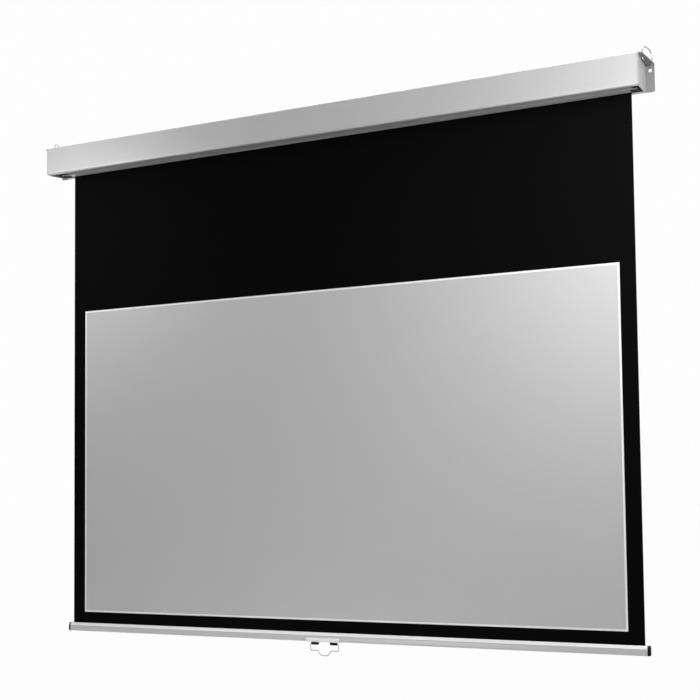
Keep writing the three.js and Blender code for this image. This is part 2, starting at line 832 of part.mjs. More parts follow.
function handleClip(side) {
  const neck = slotMouth / 2 - seatGap;
  const head = slotWidth / 2 - seatGap;
  const body = clipBody / 2;
  const section = outline([
    [clothMid - body, clipTop],
    [clothMid - body, clipTop - clipDrop, body - runGap],
    [clothMid + body, clipTop - clipDrop, body - runGap],
    [clothMid + body, clipTop],
    [clothMid + neck, clipTop],
    [clothMid + neck, barBottom + slotLip + seatGap],
    [clothMid + head, barBottom + slotLip + seatGap],
    [clothMid + head, slotTop - seatGap],
    [clothMid - head, slotTop - seatGap],
    [clothMid - head, barBottom + slotLip + seatGap],
    [clothMid - neck, barBottom + slotLip + seatGap],
    [clothMid - neck, clipTop],
  ]);
  const hole = disc(clothMid, pivotZ, bore(handleWire / 2, runGap));
  return cut(join(extrudeX(section, side * clipInner, side * (clipInner - clipSpan))),
    extrudeX(hole, side * (clipInner + overrun), side * (clipInner - stubDepth - seatGap)));
}

// Pull handle: a wire bail whose ends turn in the clips, with a dip in the middle for a pull rod
function pullHandle() {
  const half = handleWidth / 2;
  const corner = [
    [clipInner - stubDepth, 0],
    [half, 0, handleBend],
    [half, -handleSide, handleBend],
    [handleShoulder, handleRise - handleSide, handleBend],
    [handleFlat, -handleSide - handleDip, handleBend],
  ];
  const mirrored = corner.map(([x, z, radius]) => [-x, z, radius]).reverse();
  return bentWire([...corner, ...mirrored], handleWire);
}

piece('casing_shell', casingShell(), 'silver');
piece('guide_bar', guideBar(), 'silver');
piece('end_cap_left', endCap(-1), 'silver');
piece('end_cap_right', endCap(1), 'silver');
piece('end_plug_left', endPlug(-1), 'blackPlastic');
piece('end_plug_right', endPlug(1), 'blackPlastic');
addLoop(-1, 'left');
addLoop(1, 'right');
piece('spring_bracket', springBracket(), 'zinc');
piece('idle_bracket', idleBracket(), 'zinc');
piece('spring_shaft', springShaft(), 'steel');
piece('ratchet_wheel', ratchetWheel(), 'steel');
piece('spring_collar', springCollar(), 'zinc');
piece('idle_pin', idlePin(), 'steel');
piece('roller_tube', rollerTube(), 'silver');
piece('fabric_key', fabricKey(), 'nylon');
piece('fabric_turns', fabricTurns(), 'blackCloth');
piece('ratchet_head', ratchetHead(), 'zinc');
addPawl('upper', Math.PI / 2);
addPawl('lower', -Math.PI / 2);
piece('torsion_spring', torsionSpring(), 'steel');
piece('idle_plug', tubePlug(1, tubeRight, bore(bushRadius, seatGap)), 'zinc');
piece('idle_bush', idleBush(), 'nylon');
piece('screen_fabric', screenFabric(), 'cloth');
piece('fabric_hem', fabricHem(), 'blackCloth');
piece('hem_rod', hemRod(), 'nylon');
piece('bottom_bar', bottomBar(), 'silver');
piece('bar_cap_left', barCap(-1), 'blackPlastic');
piece('bar_cap_right', barCap(1), 'blackPlastic');

const grip = new THREE.Group();
grip.position.x = clothMiddle + handleOffset;
piece('handle_bracket', handleBracket(), 'silver', grip);
piece('handle_clip_left', handleClip(-1), 'blackPlastic', grip);
piece('handle_clip_right', handleClip(1), 'blackPlastic', grip);
const swing = new THREE.Group();
swing.position.set(0, clothMid, pivotZ);
piece('pull_handle', pullHandle(), 'steel', swing);
grip.add(swing);
screen.add(grip);

const swingDegrees = THREE.MathUtils.radToDeg(pawlSwing);
console.log(`a pawl swings ${swingDegrees.toFixed(2)} degrees from clear to seated`);

export default screen;
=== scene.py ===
# %% [markdown]
# # A pull down projection screen
# A long silver casing hangs from two wire loops. Cloth comes down out of it: a black drop, a grey
# viewing area inside black borders, and a weight bar with a wire pull handle under it.
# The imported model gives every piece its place. This lesson puts the finish on the solids that
# show as they are, and models again those that need rounder edges or cloth.

# %% Load the frame
import math
import bpy
import bmesh
from mathutils import Matrix, Vector


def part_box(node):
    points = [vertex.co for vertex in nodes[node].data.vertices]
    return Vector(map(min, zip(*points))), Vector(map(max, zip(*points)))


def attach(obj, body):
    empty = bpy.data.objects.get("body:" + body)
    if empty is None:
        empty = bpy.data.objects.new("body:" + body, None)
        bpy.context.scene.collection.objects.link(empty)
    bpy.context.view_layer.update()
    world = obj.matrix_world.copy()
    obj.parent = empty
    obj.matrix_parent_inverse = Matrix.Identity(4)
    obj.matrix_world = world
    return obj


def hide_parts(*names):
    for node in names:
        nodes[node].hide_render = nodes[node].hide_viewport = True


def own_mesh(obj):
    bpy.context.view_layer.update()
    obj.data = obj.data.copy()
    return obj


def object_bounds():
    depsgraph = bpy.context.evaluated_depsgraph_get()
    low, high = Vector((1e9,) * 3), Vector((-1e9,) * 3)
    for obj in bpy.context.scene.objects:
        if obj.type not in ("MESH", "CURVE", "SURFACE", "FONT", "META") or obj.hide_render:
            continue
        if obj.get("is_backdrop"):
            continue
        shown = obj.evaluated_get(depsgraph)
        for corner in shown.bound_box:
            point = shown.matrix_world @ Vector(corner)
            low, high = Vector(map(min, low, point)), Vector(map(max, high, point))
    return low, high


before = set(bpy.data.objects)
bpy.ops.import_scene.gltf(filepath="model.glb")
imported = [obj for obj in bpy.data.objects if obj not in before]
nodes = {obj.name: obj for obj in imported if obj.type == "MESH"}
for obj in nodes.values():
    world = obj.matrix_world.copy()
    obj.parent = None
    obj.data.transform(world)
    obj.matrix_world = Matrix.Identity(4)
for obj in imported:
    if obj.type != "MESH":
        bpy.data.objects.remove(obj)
cad_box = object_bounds()
MM = 0.001
print(len(nodes), "nodes, box", [[round(c, 4) for c in corner] for corner in cad_box])

# %% [markdown]
# ## The camera
# The photograph is taken from below the casing and to the right of the screen, so the casing runs
# uphill to the right. Its place and turn came from a fit to the edges of the casing, the cloth
# and the bar. A longer lens would make the casing and the bar more nearly parallel than they look.

# %% Camera
YAW, PITCH, ROLL = math.radians(24.082), math.radians(3.156), math.radians(-0.633)
CAMERA_PLACE = (1.342, -2.8547, -1.0176)
SENSOR = 36
LENS = 59.34
SHIFT = 0.12

forward = Vector((-math.sin(YAW) * math.cos(PITCH), math.cos(YAW) * math.cos(PITCH),
                  math.sin(PITCH)))
right = Vector((math.cos(YAW), math.sin(YAW), 0))
up = right.cross(forward)
across = math.cos(ROLL) * right + math.sin(ROLL) * up
upward = -math.sin(ROLL) * right + math.cos(ROLL) * up

bpy.ops.object.select_all(action="DESELECT")
bpy.ops.object.camera_add()
camera = bpy.context.object
turn = Matrix((across, upward, -forward)).transposed().to_4x4()
camera.matrix_world = Matrix.Translation(CAMERA_PLACE) @ turn
camera.data.sensor_width = SENSOR
camera.data.lens = LENS
camera.data.shift_y = SHIFT
bpy.context.scene.camera = camera
print("camera at", [round(c, 3) for c in camera.location])

# %% [markdown]
# ## White surroundings
# A studio shot on white. The white behind the object is only what the camera and reflections see,
# through the Light Path node. The light that falls on the object from all round is weaker, so
# that the greys keep their tone. The floor is painted white as well and keeps a faint shadow.

# %% A new material, and what the camera sees
scene = bpy.context.scene
scene.view_settings.view_transform = "Standard"


def new_material(name):
    """An empty material with its node tree."""
    material = bpy.data.materials.new(name)
    material.use_nodes = True
    material.node_tree.nodes.clear()
    return material, material.node_tree.nodes, material.node_tree.links


def seen_directly(tree_nodes, links):
    """1 for rays from the camera, a mirror or glass, and 0 for the light that falls on things."""
    path = tree_nodes.new("ShaderNodeLightPath")
    total = path.outputs["Is Camera Ray"]
    for word in ("Is Glossy Ray", "Is Transmission Ray"):
        larger = tree_nodes.new("ShaderNodeMath")
        larger.operation = "MAXIMUM"
        links.new(total, larger.inputs[0])
        links.new(path.outputs[word], larger.inputs[1])
        total = larger.outputs[0]
    return total


# %% World
ROUND_LIGHT = 0.42
WHITE = 0.985
world = bpy.data.worlds.new("studio")
scene.world = world
world.use_nodes = True
sky, sky_links = world.node_tree.nodes, world.node_tree.links
sky.clear()
level = sky.new("ShaderNodeMapRange")
level.inputs["To Min"].default_value = ROUND_LIGHT
level.inputs["To Max"].default_value = WHITE
background = sky.new("ShaderNodeBackground")
background.inputs["Color"].default_value = (1, 1, 1, 1)
sky_out = sky.new("ShaderNodeOutputWorld")
sky_links.new(seen_directly(sky, sky_links), level.inputs["Value"])
sky_links.new(level.outputs["Result"], background.inputs["Strength"])
sky_links.new(background.outputs[0], sky_out.inputs["Surface"])
print("world", ROUND_LIGHT, "seen as", WHITE)

# %% Floor
FLOOR_SIZE = 400
FLOOR_HEIGHT = -2.3
FLOOR_GLOW = 0.97
FLOOR_PAINT = 0.9
bpy.ops.object.select_all(action="DESELECT")
bpy.ops.mesh.primitive_plane_add(size=FLOOR_SIZE, location=(0, 0, FLOOR_HEIGHT))
floor = bpy.context.object
floor.name = floor.data.name = "studio_floor"
white, white_nodes, white_links = new_material("pale_floor")
paint_coat = white_nodes.new("ShaderNodeBsdfDiffuse")
paint_coat.inputs["Color"].default_value = (FLOOR_PAINT, FLOOR_PAINT, FLOOR_PAINT, 1)
glow = white_nodes.new("ShaderNodeEmission")
share = white_nodes.new("ShaderNodeMath")
share.operation = "MULTIPLY"
share.inputs[1].default_value = FLOOR_GLOW
blend = white_nodes.new("ShaderNodeMixShader")
white_out = white_nodes.new("ShaderNodeOutputMaterial")
white_links.new(seen_directly(white_nodes, white_links), share.inputs[0])
white_links.new(share.outputs[0], blend.inputs["Fac"])
white_links.new(paint_coat.outputs[0], blend.inputs[1])
white_links.new(glow.outputs[0], blend.inputs[2])
white_links.new(blend.outputs[0], white_out.inputs["Surface"])
floor.data.materials.append(white)
floor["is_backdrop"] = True
print("floor at", FLOOR_HEIGHT, "m")

# %% [markdown]
# ## Lamps
# The cloth is brightest at its upper right corner, where a soft lamp stands close in front of it.
# Others lift both ends of the casing, the right end cap, the bottom of the cloth and the back. A
# narrow beam from high up gives the bar its bright upper edge. Their powers came from a fit to
# the tones of the photograph, lamp by lamp. Area lamps are used, because their shadows are soft.

# %% Lamps: place, tilt in degrees, size, power in watts and spread in degrees
LAMPS = {
    "key": ((0.75, -0.75, -0.42), (90, 0, 0), (0.5, 0.5), 1.5, 180),
    "left": ((-0.95, -0.6, -0.12), (90, 0, 0), (0.4, 0.4), 2.7, 180),
    "right": ((1.25, -0.7, -0.05), (90, 0, 25), (0.5, 0.5), 8.2, 180),
    "side": ((1.6, -0.4, -0.05), (90, 0, 62), (0.4, 0.4), 2.4, 180),
    "low": ((0, -0.8, -1.5), (95, 0, 0), (0.5, 0.5), 0.7, 180),
    "high": ((0, -0.8, 12), (3.3, 0, 0), (1, 0.2), 28, 24),
    "back": ((-2, 2.2, 0.6), (-80, 0, 40), (2, 2), 12, 180),
}
for word, (place, tilt, size, power, spread) in LAMPS.items():
    angles = [math.radians(angle) for angle in tilt]
    bpy.ops.object.light_add(type="AREA", location=place, rotation=angles)
    lamp = bpy.context.object
    lamp.name = lamp.data.name = f"lamp_{word}"
    lamp.data.shape = "RECTANGLE"
    lamp.data.size, lamp.data.size_y = size
    lamp.data.energy = power
    lamp.data.spread = math.radians(spread)
    lamp.visible_camera = False
    print(lamp.name, power, "W")

# %% [markdown]
# ## Effects that several finishes share
# Drawn aluminium carries fine lines along its length from the die, castings and mouldings have a
# grain, and cloth has its threads. Each effect is a node group, so that all finishes use the same
# one with their own numbers. A texture painted by hand would do, but it would blur close up.

# %% A helper for node groups


def new_group(name, numbers, results):
    """A node group with named number inputs and named outputs."""
    group = bpy.data.node_groups.new(name, "ShaderNodeTree")
    for word, value in numbers.items():
        socket = group.interface.new_socket(name=word, in_out="INPUT",
                                            socket_type="NodeSocketFloat")
        socket.default_value = value
    for word in results:
        group.interface.new_socket(name=word, in_out="OUTPUT", socket_type="NodeSocketFloat")
    return group, group.nodes.new("NodeGroupInput"), group.nodes.new("NodeGroupOutput")


def add_noise(group, vector, result, scale, detail):
    """A noise in a group that goes straight to one of its outputs. Its scale can be a socket."""
    noise = group.nodes.new("ShaderNodeTexNoise")
    noise.inputs["Detail"].default_value = detail
    group.links.new(vector, noise.inputs["Vector"])
    if isinstance(scale, (int, float)):
        noise.inputs["Scale"].default_value = scale
    else:
        group.links.new(scale, noise.inputs["Scale"])
    group.links.new(noise.outputs["Fac"], result)


# %% Die lines along the extrusions
FINE_DETAIL, CLOUD_DETAIL = 3, 4
DIE_CLOUDS = 9
die_lines, inlet, outlet = new_group("die_lines", {"Across": 650, "Along": 2}, ["Fine", "Cloud"])
place = die_lines.nodes.new("ShaderNodeTexCoord").outputs["Object"]
stretch = die_lines.nodes.new("ShaderNodeCombineXYZ")
scaled = die_lines.nodes.new("ShaderNodeVectorMath")
scaled.operation = "MULTIPLY"
for axis, word in zip("XYZ", ("Along", "Across", "Across")):
    die_lines.links.new(inlet.outputs[word], stretch.inputs[axis])
die_lines.links.new(place, scaled.inputs[0])
die_lines.links.new(stretch.outputs[0], scaled.inputs[1])
add_noise(die_lines, scaled.outputs[0], outlet.inputs["Fine"], 1, FINE_DETAIL)
add_noise(die_lines, place, outlet.inputs["Cloud"], DIE_CLOUDS, CLOUD_DETAIL)
print("group", die_lines.name)

# %% Grain of castings, mouldings and plated wire
GRAIN_CLOUDS = 60
grain, inlet, outlet = new_group("grain", {"Scale": 1500}, ["Fine", "Cloud"])
place = grain.nodes.new("ShaderNodeTexCoord").outputs["Object"]
add_noise(grain, place, outlet.inputs["Fine"], inlet.outputs["Scale"], FINE_DETAIL)
add_noise(grain, place, outlet.inputs["Cloud"], GRAIN_CLOUDS, CLOUD_DETAIL)
print("group", grain.name)

# %% [markdown]
# ## Threads of the cloth
# Screen cloth is a coated weave. Two sine waves at right angles, added up, give the crossing
# threads. They follow the cloth's own UV map, which is laid out in metres along the sheet, so the
# threads go round the rod and the roller with it. A wide noise gives the coating its slight
# unevenness.

# %% Weave
COATING_CLOUDS, COATING_DETAIL = 5, 6
THREAD_SWING, THREAD_MIDDLE = 0.25, 0.5
weave, inlet, outlet = new_group("weave", {"Threads": 4200}, ["Fine", "Cloud"])
flat = weave.nodes.new("ShaderNodeUVMap")
flat.uv_map = "cloth"
split = weave.nodes.new("ShaderNodeSeparateXYZ")
weave.links.new(flat.outputs["UV"], split.inputs[0])
crossed = weave.nodes.new("ShaderNodeMath")
crossed.operation = "ADD"
for number, axis in enumerate("XY"):
    times = weave.nodes.new("ShaderNodeMath")
    times.operation = "MULTIPLY"
    wave = weave.nodes.new("ShaderNodeMath")
    wave.operation = "SINE"
    weave.links.new(split.outputs[axis], times.inputs[0])
    weave.links.new(inlet.outputs["Threads"], times.inputs[1])
    weave.links.new(times.outputs[0], wave.inputs[0])
    weave.links.new(wave.outputs[0], crossed.inputs[number])
half = weave.nodes.new("ShaderNodeMath")
half.operation = "MULTIPLY_ADD"
half.inputs[1].default_value = THREAD_SWING
half.inputs[2].default_value = THREAD_MIDDLE
weave.links.new(crossed.outputs[0], half.inputs[0])
weave.links.new(half.outputs[0], outlet.inputs["Fine"])
add_noise(weave, flat.outputs["UV"], outlet.inputs["Cloud"], COATING_CLOUDS, COATING_DETAIL)
print("group", weave.name)

# %% [markdown]
# ## The finishes
# Every finish is a Principled shader whose colour and roughness swing a little with its group,
# and whose fine structure goes through a Bump node. One function builds them all, because a
# silver profile, a casting and a moulding differ only in their values.

# %% One function for all finishes
GLOSS_SWING = 0.07
BUMP_HEIGHT = 0.2 * MM


def finish(name, group, base, rough, metallic, bump, swing=0.06, specular=0.5, fine_share=0.2,
           numbers=None):
    """A Principled material: colour and gloss swing with the group, its fine part is a bump."""
    material, tree, links = new_material(name)
    effect = tree.new("ShaderNodeGroup")
    effect.node_tree = group
    for word, value in (numbers or {}).items():
        effect.inputs[word].default_value = value
    mixed = tree.new("ShaderNodeMix")
    mixed.inputs["Factor"].default_value = fine_share
    colour = tree.new("ShaderNodeMix")
    colour.data_type = "RGBA"
    colour.inputs["A"].default_value = (*(c * (1 - swing) for c in base), 1)
    colour.inputs["B"].default_value = (*(min(1, c * (1 + swing)) for c in base), 1)
    gloss = tree.new("ShaderNodeMapRange")
    gloss.inputs["To Min"].default_value = max(0, rough - GLOSS_SWING)
    gloss.inputs["To Max"].default_value = min(1, rough + GLOSS_SWING)
    relief = tree.new("ShaderNodeBump")
    relief.inputs["Strength"].default_value = bump
    relief.inputs["Distance"].default_value = BUMP_HEIGHT
    shader = tree.new("ShaderNodeBsdfPrincipled")
    shader.inputs["Metallic"].default_value = metallic
    shader.inputs["Specular IOR Level"].default_value = specular
    out = tree.new("ShaderNodeOutputMaterial")
    links.new(effect.outputs["Cloud"], mixed.inputs["A"])
    links.new(effect.outputs["Fine"], mixed.inputs["B"])
    links.new(mixed.outputs["Result"], colour.inputs["Factor"])
    links.new(effect.outputs["Cloud"], gloss.inputs["Value"])
    links.new(effect.outputs["Fine"], relief.inputs["Height"])
    links.new(colour.outputs["Result"], shader.inputs["Base Color"])
    links.new(gloss.outputs["Result"], shader.inputs["Roughness"])
    links.new(relief.outputs["Normal"], shader.inputs["Normal"])
    links.new(shader.outputs[0], out.inputs["Surface"])
    return material


# %% Metals
LOOKS = {
    "silver": finish("silver_profile", die_lines, (0.43, 0.43, 0.434), 0.42, 0.3, 0.3, swing=0.1,
                     fine_share=0.6),
    "bar": finish("bright_bar", die_lines, (0.51, 0.51, 0.515), 0.36, 0.3, 0.3, swing=0.08,
                  fine_share=0.6, numbers={"Across": 1200}),
    # The shoulder finish is lighter than the bar: a painted highlight for light from above.
    "shoulder": finish("shoulder_painted_highlight", die_lines, (0.7, 0.7, 0.705), 0.38, 0.3, 0.2,
                       fine_share=0.6, numbers={"Across": 1800}),
    "plate": finish("bright_plate", die_lines, (0.8, 0.8, 0.805), 0.34, 0.3, 0.2, fine_share=0.6,
                    numbers={"Across": 1800}),
    "cap": finish("silver_cap", grain, (0.36, 0.36, 0.364), 0.45, 0.25, 0.1,
                  numbers={"Scale": 2500}),
    # Darker sheet for the caps' ears and flanges: partly bare sheet, partly painted shade.
    "bracket": finish("bare_sheet_and_painted_shade", grain, (0.165, 0.165, 0.168), 0.5, 0.35, 0.15,
                      swing=0.12, numbers={"Scale": 700}),
    "steel": finish("plated_wire", grain, (0.48, 0.48, 0.48), 0.25, 1, 0.05,
                    numbers={"Scale": 900}),
    "zinc": finish("cast_zinc", grain, (0.42, 0.42, 0.43), 0.5, 0.8, 0.25,
                   numbers={"Scale": 1200}),
}
print(len(LOOKS), "metal finishes")

# %% Plastics and cloth
LOOKS.update({
    "nylon": finish("white_nylon", grain, (0.78, 0.77, 0.73), 0.5, 0, 0.1,
                    numbers={"Scale": 1800}),
    "black_plastic": finish("black_moulding", grain, (0.009, 0.009, 0.01), 0.6, 0, 0.2,
                            specular=0.08, numbers={"Scale": 2500}),
    "black_cloth": finish("black_cloth", weave, (0.003, 0.003, 0.0031), 0.9, 0, 0.25, swing=0.1,
                          specular=0.02),
    "grey_cloth": finish("grey_coating", weave, (0.531, 0.531, 0.534), 0.5, 0, 0.1, swing=0.04,
                         specular=0.3, fine_share=0.5),
    "pale_line": finish("pale_edge", weave, (0.88, 0.88, 0.88), 0.6, 0, 0.1, swing=0.02,
                        specular=0.3),
})
print(len(LOOKS), "finishes")

# %% Finish the solids that show as they are
for name, node in nodes.items():
    slot = node.data.materials[0].name
    node.data.materials[0] = LOOKS["black_cloth" if slot == "screen_cloth" else slot]
print(len(nodes), "nodes have their finish")

# %% [markdown]
# ## Helpers for modelling
# Extrusions, sheets and bent wires all start as a line. A plane is merged to one point, the point
# is pushed on from corner to corner, and chosen corners are rounded with a bevel. The line is
# then filled, pushed along the casing, or made a round wire.

# %% Pick points, and draw a line
CLOSE = 0.05 * MM
ROUND_STEPS = 6


def pick(piece, test):
    """Selects the points whose place passes the test, and nothing else."""
    bpy.ops.mesh.select_all(action="DESELECT")
    bpy.context.tool_settings.mesh_select_mode = (True, False, False)
    work = bmesh.from_edit_mesh(piece.data)
    for point in work.verts:
        point.select = test(point.co)
    work.select_flush_mode()
    bmesh.update_edit_mesh(piece.data)


def draw_line(name, corners, steps=ROUND_STEPS):
    """Draws a line through corners (place, radius), rounds them, and stays in edit mode."""
    bpy.ops.object.select_all(action="DESELECT")
    bpy.ops.mesh.primitive_plane_add(size=MM, location=(0, 0, 0))
    line = bpy.context.object
    line.name = line.data.name = name
    bpy.ops.object.mode_set(mode="EDIT")
    bpy.ops.mesh.select_all(action="SELECT")
    bpy.ops.mesh.merge(type="CENTER")
    spots = [Vector(place) for place, radius in corners]
    bpy.ops.transform.translate(value=spots[0])
    for start, end in zip(spots, spots[1:]):
        bpy.ops.mesh.extrude_region_move(TRANSFORM_OT_translate={"value": end - start})
    for radius in sorted({radius for place, radius in corners if radius}, reverse=True):
        chosen = [Vector(place) for place, own in corners if own == radius]
        pick(line, lambda place: any((place - spot).length < CLOSE for spot in chosen))
        bpy.ops.mesh.bevel(offset_type="OFFSET", offset=radius, segments=steps,
                           affect="VERTICES", profile=0.5)
    bpy.ops.mesh.select_all(action="SELECT")
    return line


# %% Modifiers, cuts and finishes
X_AXIS, Z_AXIS = Vector((1, 0, 0)), Vector((0, 0, 1))


def apply_modifier(piece, kind, **settings):
    """Adds a modifier with these settings and applies it."""
    bpy.ops.object.select_all(action="DESELECT")
    piece.select_set(True)
    bpy.context.view_layer.objects.active = piece
    added = piece.modifiers.new(kind.lower(), kind)
    for word, value in settings.items():
        setattr(added, word, value)
    bpy.ops.object.modifier_apply(modifier=added.name)


def cut_across(axis, places):
    """Divides the faces of the mesh that is in edit mode at these places along an axis."""
    for place in places:
        bpy.ops.mesh.select_all(action="SELECT")
        bpy.ops.mesh.bisect(plane_co=axis * place, plane_no=axis)


def paint(piece, looks, choose=lambda face: 0):
    """Gives the piece these looks, and each face the one whose number choose(face) gives."""
    for look in looks:
        piece.data.materials.append(LOOKS[look])
    for face in piece.data.polygons:
        face.material_index = int(choose(face))


# %% The last steps of every piece
SMOOTH_ANGLE, WIRE_SMOOTH_ANGLE = 30, 60


def close_piece(piece, look, body, stands_for, smooth=SMOOTH_ANGLE, even=True):
    """Gives the piece its shading, finish, body and slot, and hides the nodes it stands for."""
    bpy.ops.object.select_all(action="DESELECT")
    piece.select_set(True)
    bpy.context.view_layer.objects.active = piece
    bpy.ops.object.transform_apply(location=True, rotation=True, scale=True)
    bpy.ops.object.shade_smooth_by_angle(angle=math.radians(smooth))
    if even:
        apply_modifier(piece, "WEIGHTED_NORMAL", keep_sharp=True)
    if not piece.data.materials:
        paint(piece, [look])
    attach(piece, body)
    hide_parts(*stands_for)
    spots = [vertex.co for vertex in piece.data.vertices]
    box = [limit(spot[k] for spot in spots) / MM for limit in (min, max) for k in range(3)]
    print(piece.name, [round(c, 1) for c in box], "mm,", len(piece.data.polygons), "faces")


# %% Extrusions


def extrusion(name, corners, left, right, wall=0):
    """A closed profile (y, z, radius) in mm, pushed along X from left to right in metres."""
    spots = [((left, y * MM, z * MM), radius * MM) for y, z, radius in corners]
    profile = draw_line(name, spots)
    bpy.ops.mesh.edge_face_add()
    if wall:
        bpy.ops.mesh.inset(thickness=wall * MM)
        bpy.ops.mesh.delete(type="FACE")
        bpy.ops.mesh.select_all(action="SELECT")
    bpy.ops.mesh.extrude_region_move(TRANSFORM_OT_translate={"value": (right - left, 0, 0)})
    bpy.ops.mesh.select_all(action="SELECT")
    bpy.ops.mesh.normals_make_consistent(inside=False)
    bpy.ops.object.mode_set(mode="OBJECT")
    return profile


def span(node):
    """Left and right ends of a node, in metres."""
    low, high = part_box(node)
    return low.x, high.x


def side_box(node):
    """A node's front, lower, back and upper limits, in millimetres."""
    low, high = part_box(node)
    return low.y / MM, low.z / MM, high.y / MM, high.z / MM


# %% [markdown]
# ## The casing
# The casing is an aluminium extrusion: one profile, open underneath, with a rounded lip along its
# front that hides the guide bar. Pushing a drawn profile along X is how the real one is made, and
# it keeps every edge straight from end to end.

# %% Casing profile
WALL = 1.4
LIP_DEPTH, LIP_DROP = 11, 11
FRONT_RAIL, REAR_RAIL = 6, 13
NOSE, SHOULDER, REAR = 6, 3, 1.5
front, bottom, back, top = side_box("casing_shell")
lip_back = front + LIP_DEPTH
plane = bottom + LIP_DROP
outside = [(back - REAR_RAIL, plane, 0), (back, plane, REAR), (back, top, REAR),
           (front, top, SHOULDER), (front, bottom, NOSE), (lip_back, bottom, WALL),
           (lip_back, plane, 0), (lip_back + FRONT_RAIL, plane, 0)]
inside = [(lip_back + FRONT_RAIL, plane + WALL, 0), (lip_back - WALL, plane + WALL, 0),
          (lip_back - WALL, bottom + WALL, 0), (front + WALL, bottom + WALL, NOSE - WALL),
          (front + WALL, top - WALL, SHOULDER - WALL), (back - WALL, top - WALL, 0),
          (back - WALL, plane + WALL, 0), (back - REAR_RAIL, plane + WALL, 0)]
casing = extrusion("casing_profile", outside + inside, *span("casing_shell"))
close_piece(casing, "silver", "casing", ["casing_shell"])

# %% [markdown]
# ## The guide bar
# Between the lip and the cloth a flat tube ties the end caps together. It shows from below as a
# grey strip. Its profile is drawn, inset by the wall's thickness and opened before it is pushed
# along X. Beyond the cloth its underside is black.

# %% Guide bar
GUIDE_ROUND, GUIDE_WALL = 2, 1.2
FACING = 0.5
front, bottom, back, top = side_box("guide_bar")
ring = [(front, bottom), (back, bottom), (back, top), (front, top)]
guide = extrusion("guide_tube", [(y, z, GUIDE_ROUND) for y, z in ring], *span("guide_bar"),
                  wall=GUIDE_WALL)
cloth_left, cloth_right = span("screen_fabric")
bpy.ops.object.mode_set(mode="EDIT")
cut_across(X_AXIS, (cloth_left, cloth_right))
bpy.ops.object.mode_set(mode="OBJECT")


def is_end_underside(face):
    """True for the tube's underside beyond the cloth."""
    under = face.normal.z < -FACING and face.center.z < (bottom + GUIDE_ROUND) * MM
    return under and not cloth_left < face.center.x < cloth_right


# The tube's underside beyond the cloth is black.
paint(guide, ("silver", "black_plastic"), is_end_underside)
close_piece(guide, "silver", "casing", ["guide_bar"])

# %% [markdown]
# ## Pressed, moulded and cast pieces
# The end caps are pressed from sheet, and the plugs and lugs are moulded. Their solids are right
# but have edges as sharp as knives. A copy of the solid is merged, its flat triangles are joined
# to whole faces, and a narrow bevel rounds each edge so that it catches the light. Modelling them
# again from nothing would give the same form for more work. The ear and the wall flange of each
# cap are darker than the painted plate between them and the casing: bare sheet, with painted
# shade added for the shadow under the ear and on the flange.

# %% A copy with softened edges
MERGE = 0.001 * MM
EDGE_SEGMENTS = 2
FLAT_ANGLE, SHARP_ANGLE = math.radians(0.5), math.radians(35)


def softened(name, node, width):
    """A merged copy of a CAD node whose sharp edges are rounded."""
    bpy.ops.object.select_all(action="DESELECT")
    bpy.ops.mesh.primitive_plane_add(size=MM, location=(0, 0, 0))
    piece = bpy.context.object
    piece.data = nodes[node].data.copy()
    piece.data.materials.clear()
    piece.name = piece.data.name = name
    bpy.ops.object.mode_set(mode="EDIT")
    bpy.ops.mesh.select_all(action="SELECT")
    bpy.ops.mesh.remove_doubles(threshold=MERGE)
    bpy.ops.mesh.dissolve_limited(angle_limit=FLAT_ANGLE)
    bpy.ops.object.mode_set(mode="OBJECT")
    apply_modifier(piece, "BEVEL", width=width * MM, segments=EDGE_SEGMENTS,
                   limit_method="ANGLE", angle_limit=SHARP_ANGLE)
    return piece


# %% End caps and end plugs
CAP_FACE = 876.5 * MM
CAP_EDGE, PLUG_EDGE = 0.4, 0.3
for word in ("left", "right"):
    cap = softened(f"end_plate_{word}", f"end_cap_{word}", CAP_EDGE)
    # Ear and flange faces take the darker sheet finish, which also holds painted shade under the ear.
    paint(cap, ("cap", "bracket"), lambda face: abs(face.center.x) > CAP_FACE)
    close_piece(cap, "cap", "casing", [f"end_cap_{word}"])
    plug = softened(f"profile_plug_{word}", f"end_plug_{word}", PLUG_EDGE)
    close_piece(plug, "black_plastic", "casing", [f"end_plug_{word}"])

# %% [markdown]
# ## The cloth
# The screen is one sheet: a black drop at the top, black side borders, and the grey viewing area
# that ends in a thin pale line where the black print stops. The sheet is cut with bisects along
# those lines, so each part is its own faces, and a Solidify modifier gives it a black back.

# %% Screen sheet
LINE = 5 * MM
SIDE = 40 * MM
VIEW_HEIGHT = 900 * MM
CELLS_ACROSS, CELLS_DOWN = 24, 20
cloth_low, cloth_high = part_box("screen_fabric")
middle_y = (cloth_low.y + cloth_high.y) / 2
view_top = cloth_low.z + VIEW_HEIGHT
bpy.ops.object.select_all(action="DESELECT")
bpy.ops.mesh.primitive_grid_add(x_subdivisions=CELLS_ACROSS, y_subdivisions=CELLS_DOWN, size=1,
                                location=(cloth_low + cloth_high) / 2,
                                rotation=(math.pi / 2, 0, 0))
screen = bpy.context.object
screen.name = screen.data.name = "screen_cloth"
screen.scale = (cloth_high.x - cloth_low.x, cloth_high.z - cloth_low.z, 1)
bpy.ops.object.transform_apply(location=True, rotation=True, scale=True)
grey_left, grey_right = cloth_low.x + SIDE, cloth_high.x - SIDE
bpy.ops.object.mode_set(mode="EDIT")
cut_across(X_AXIS, (grey_left, grey_left + LINE, grey_right - LINE, grey_right))
cut_across(Z_AXIS, (view_top, view_top - LINE, cloth_low.z + LINE))
bpy.ops.object.mode_set(mode="OBJECT")
front_normal = [round(c) for c in screen.data.polygons[0].normal]
print(len(screen.data.polygons), "faces, facing", front_normal)

# %% Its colours, and its thickness
THICK = 0.5 * MM


